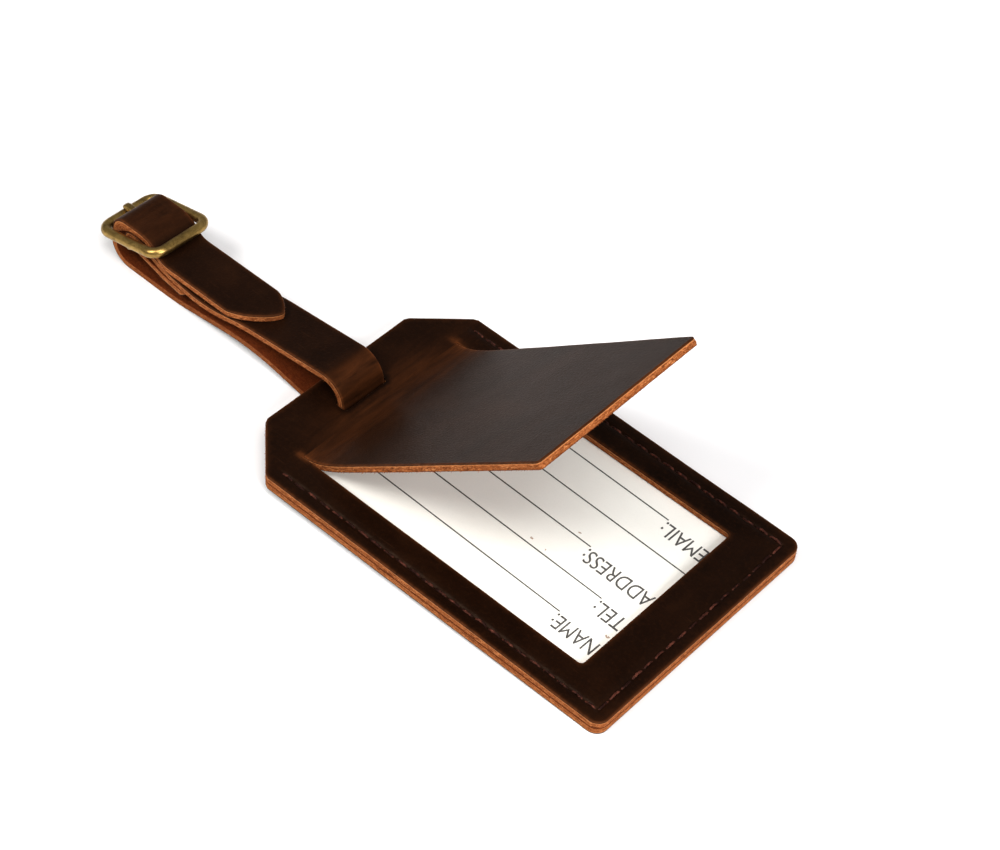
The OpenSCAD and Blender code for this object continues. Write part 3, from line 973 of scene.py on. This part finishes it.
def flesh_material(name, pale, deep):
    """Suede side: short reddish-brown nap, brushed in patches."""
    made, tree, shader = new_material(name)
    flat = stored(tree, "flat")
    nap = cloud(tree, stretched(tree, flat, (1.0, 1.7, 1.0)), 1.6, 6, 0.72, 1.0)
    patches = cloud(tree, flat, 0.11, 4, 0.6)
    fibres = cloud(tree, flat, 6.0, 4, 0.7)
    colour = mix(tree, spread(tree, nap, 0.36, 0.64), deep, pale)
    colour = mix(tree, spread(tree, patches, 0.35, 0.7, 0, 0.5), colour, deep)
    colour = mix(tree, spread(tree, fibres, 0.5, 0.7, 0, 0.5), colour, deep)
    height = math_node(tree, "ADD", nap, fibres)
    join(tree, shader, colour=colour, rough=0.95, normal=bump(tree, height, 0.16, 1.0), specular=0.05,
         sheen=0.06, sheen_rough=0.5, sheen_tint=(1.0, 0.5, 0.25, 1))
    return made


def card_material():
    """Plain white card stock with a faint tooth and a few crumbs of leather dust."""
    made, tree, shader = new_material("white_card")
    flat = stored(tree, "flat")
    tooth = cloud(tree, flat, 3.0, 5, 0.6)
    tone = cloud(tree, flat, 0.05, 3)
    colour = mix(tree, spread(tree, tone, 0.3, 0.7), (0.88, 0.872, 0.82, 1), (0.84, 0.83, 0.775, 1))
    colour = mix(tree, spread(tree, tooth, 0.5, 0.8, 0, 0.12), colour, (0.62, 0.6, 0.57, 1))
    bent = add(tree, "VectorMath", {0: flat, 1: cloud(tree, flat, 1.4, 2)}, operation="ADD").outputs[0]
    far = cells(tree, stretched(tree, bent, (0.8, 1.3, 1)), 0.17)
    lot = add(tree, "TexVoronoi", {"Vector": stretched(tree, bent, (0.8, 1.3, 1)), "Scale": 0.17}).outputs["Color"]
    size = spread(tree, lot, 0.55, 1.0, 0.0, 0.11)
    crumb = math_node(tree, "LESS_THAN", far, size)
    colour = mix(tree, math_node(tree, "MULTIPLY", crumb, 0.75), colour, (0.33, 0.19, 0.11, 1))
    join(tree, shader, colour=colour, rough=0.62, normal=bump(tree, tooth, 0.008, 0.6), specular=0.3)
    return made


def ink_material():
    made, tree, shader = new_material("grey_print")
    flat = stored(tree, "flat")
    worn = cloud(tree, flat, 2.2, 4, 0.7)
    colour = mix(tree, spread(tree, worn, 0.4, 0.8), (0.055, 0.053, 0.05, 1), (0.2, 0.19, 0.18, 1))
    join(tree, shader, colour=colour, rough=0.5, normal=bump(tree, worn, 0.005, 0.5))
    return made


def thread_material():
    """Waxed brown thread: fine filaments with a pinkish shine, the pale pinkish filaments a painted highlight."""
    made, tree, shader = new_material("waxed_thread")
    flat = stored(tree, "flat")
    filaments = cloud(tree, flat, 9.0, 3, 0.6, 0.6)
    patches = cloud(tree, flat, 0.5, 3)
    # painted highlight: pale pinkish filaments on the dark thread
    colour = mix(tree, spread(tree, filaments, 0.35, 0.68), (0.014, 0.005, 0.004, 1), (0.2, 0.065, 0.042, 1))
    colour = mix(tree, spread(tree, patches, 0.36, 0.56, 0, 0.92), colour, (0.01, 0.0035, 0.0028, 1))
    join(tree, shader, colour=colour, rough=0.42, normal=bump(tree, filaments, 0.04, 0.8), specular=0.12,
         tint=(1.0, 0.7, 0.6, 1))
    return made


def brass_material():
    """Antique brass: golden metal under uneven brown-green patina, with fine rub lines."""
    made, tree, shader = new_material("antique_brass")
    flat = stored(tree, "flat")
    patina = cloud(tree, flat, 0.3, 6, 0.65, 0.8)
    speck = cloud(tree, flat, 2.4, 5, 0.7)
    rub = cloud(tree, stretched(tree, flat, (4.0, 0.4, 1.0)), 2.2, 3, 0.6)
    colour = ramp(tree, patina, (0.3, (0.5, 0.335, 0.115, 1)), (0.52, (0.36, 0.235, 0.075, 1)),
                  (0.74, (0.17, 0.108, 0.034, 1)))
    colour = mix(tree, spread(tree, speck, 0.54, 0.76, 0, 0.6), colour, (0.1, 0.064, 0.022, 1))
    colour = mix(tree, spread(tree, rub, 0.58, 0.7, 0, 0.5), colour, (0.5, 0.36, 0.15, 1))
    rough = math_node(tree, "ADD", spread(tree, speck, 0.3, 0.7, 0.24, 0.42), spread(tree, rub, 0.5, 0.7, 0.0, 0.06))
    height = math_node(tree, "ADD", speck, rub)
    join(tree, shader, colour=colour, rough=rough, metal=0.96, normal=bump(tree, height, 0.02, 0.6))
    return made


DEEP, MID, WARM = (0.0045, 0.0014, 0.0006, 1), (0.011, 0.0036, 0.0014, 1), (0.024, 0.0085, 0.003, 1)
PALE_EDGE, RED_EDGE, DARK_EDGE = (0.66, 0.285, 0.108, 1), (0.33, 0.105, 0.03, 1), (0.085, 0.023, 0.007, 1)


def dress(obj, body, slot, nodes, *materials):
    """Gives a finished piece its materials and its CAD body, and hides its CAD nodes. slot is not used."""
    for m in materials:
        obj.data.materials.append(m)
    if body:
        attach(obj, body)
    if nodes:
        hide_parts(*nodes)


def build_all():
    grain = grain_material("grain_leather", DEEP, MID, WARM)
    strap_grain = grain_material("strap_grain_leather", (0.0055, 0.0018, 0.0008, 1), (0.013, 0.0044, 0.0018, 1),
                                 (0.026, 0.0095, 0.0036, 1))
    edge = edge_material("cut_edge", PALE_EDGE, RED_EDGE, DARK_EDGE)
    # the strap's lower strand, under the upper one, whose edge gets painted shade
    lower = route_at(lambda x, z, s: (z < 4) & (x > BAR_X) & (s > 60))
    strap_edge = edge_material("strap_cut_edge", PALE_EDGE, RED_EDGE, DARK_EDGE, lower)
    flesh = flesh_material("suede_side", (0.21, 0.05, 0.012, 1), (0.07, 0.013, 0.003, 1))
    thread, brass = thread_material(), brass_material()

    dress(build_front_panel(), "tag_body", "grain_leather", ["front_panel"], grain, edge, flesh)
    dress(build_back_panel(), "tag_body", "grain_leather", ["back_panel"], flesh, edge, grain)
    flap = build_flap()
    dress(flap, None, "grain_leather", ["flap"], grain, edge, flesh)
    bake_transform(flap)

    card = build_card()
    paper = card_material()
    dress(card, "card_body", "card", ["id_card"], paper, paper, paper)
    dress(build_print(), "card_body", "card", [], ink_material())
    top, back = 2 * PANEL_T - 0.12, 0.12
    dress(seam_thread("needle_stitches", top, 1.0), "tag_body", "thread", ["needle_thread"], thread)
    dress(seam_thread("bobbin_stitches", back, -1.0), "tag_body", "thread", ["bobbin_thread"], thread)

    dress(build_strap(), "strap_body", "strap_leather", ["strap"], strap_grain, strap_edge, flesh)
    dress(build_fold_thread(), "strap_body", "thread", ["fold_thread"], thread)
    dress(build_frame(), "buckle_body", "antique_brass", ["buckle_frame"], brass)
    dress(build_bar(), "buckle_body", "antique_brass", ["buckle_bar"], brass)
    dress(build_tongue(), "tongue_body", "antique_brass", ["buckle_tongue"], brass)


# ---- stage ----


def build_floor():
    half = 3.0
    mesh = bpy.data.meshes.new("floor")
    mesh.from_pydata([(-half, -half, 0), (half, -half, 0), (half, half, 0), (-half, half, 0)], [], [(0, 1, 2, 3)])
    floor = bpy.data.objects.new("floor", mesh)
    scene.collection.objects.link(floor)
    made, tree, shader = new_material("white_floor")
    join(tree, shader, colour=(0.84, 0.835, 0.84, 1), rough=0.9, specular=0.1)
    mesh.materials.append(made)


def soft_light(name, place, aim, size, watts, colour=(1, 1, 1)):
    data = bpy.data.lights.new(name, "AREA")
    data.shape, data.size, data.energy, data.color = "DISK", size, watts, colour
    lamp = bpy.data.objects.new(name, data)
    lamp.location = place
    lamp.rotation_euler = (Vector(aim) - Vector(place)).to_track_quat("-Z", "Y").to_euler()
    scene.collection.objects.link(lamp)


def build_light():
    world = bpy.data.worlds.new("studio")
    world.use_nodes = True
    world.node_tree.nodes["Background"].inputs["Color"].default_value = (1, 1, 1, 1)
    world.node_tree.nodes["Background"].inputs["Strength"].default_value = 0.34
    scene.world = world
    soft_light("key", (-0.25, -0.55, 0.75), (0, 0, 0), 0.4, 6.5, (1, 0.985, 0.96))
    soft_light("side", (0.75, -0.15, 0.45), (0, 0, 0), 0.5, 6.6)
    soft_light("top", (0.3, -0.2, 1.0), (0, 0, 0), 0.6, 5.0)


def build_camera():
    place, aim = Vector((0.2810, -0.3286, 0.4603)), Vector((0.0163, 0.0180, 0.0))
    roll = Quaternion((0, 0, 1), math.radians(5.58))
    data = bpy.data.cameras.new("camera")
    data.lens, data.sensor_width = 98.28, 36
    data.clip_start, data.clip_end = 0.01, 20
    camera = bpy.data.objects.new("camera", data)
    camera.location = place
    camera.rotation_mode = "QUATERNION"
    camera.rotation_quaternion = (aim - place).to_track_quat("-Z", "Y") @ roll
    scene.collection.objects.link(camera)
    scene.camera = camera


build_all()
build_floor()
build_light()
build_camera()
scene.view_settings.view_transform = "Standard"
scene.view_settings.gamma = 0.88
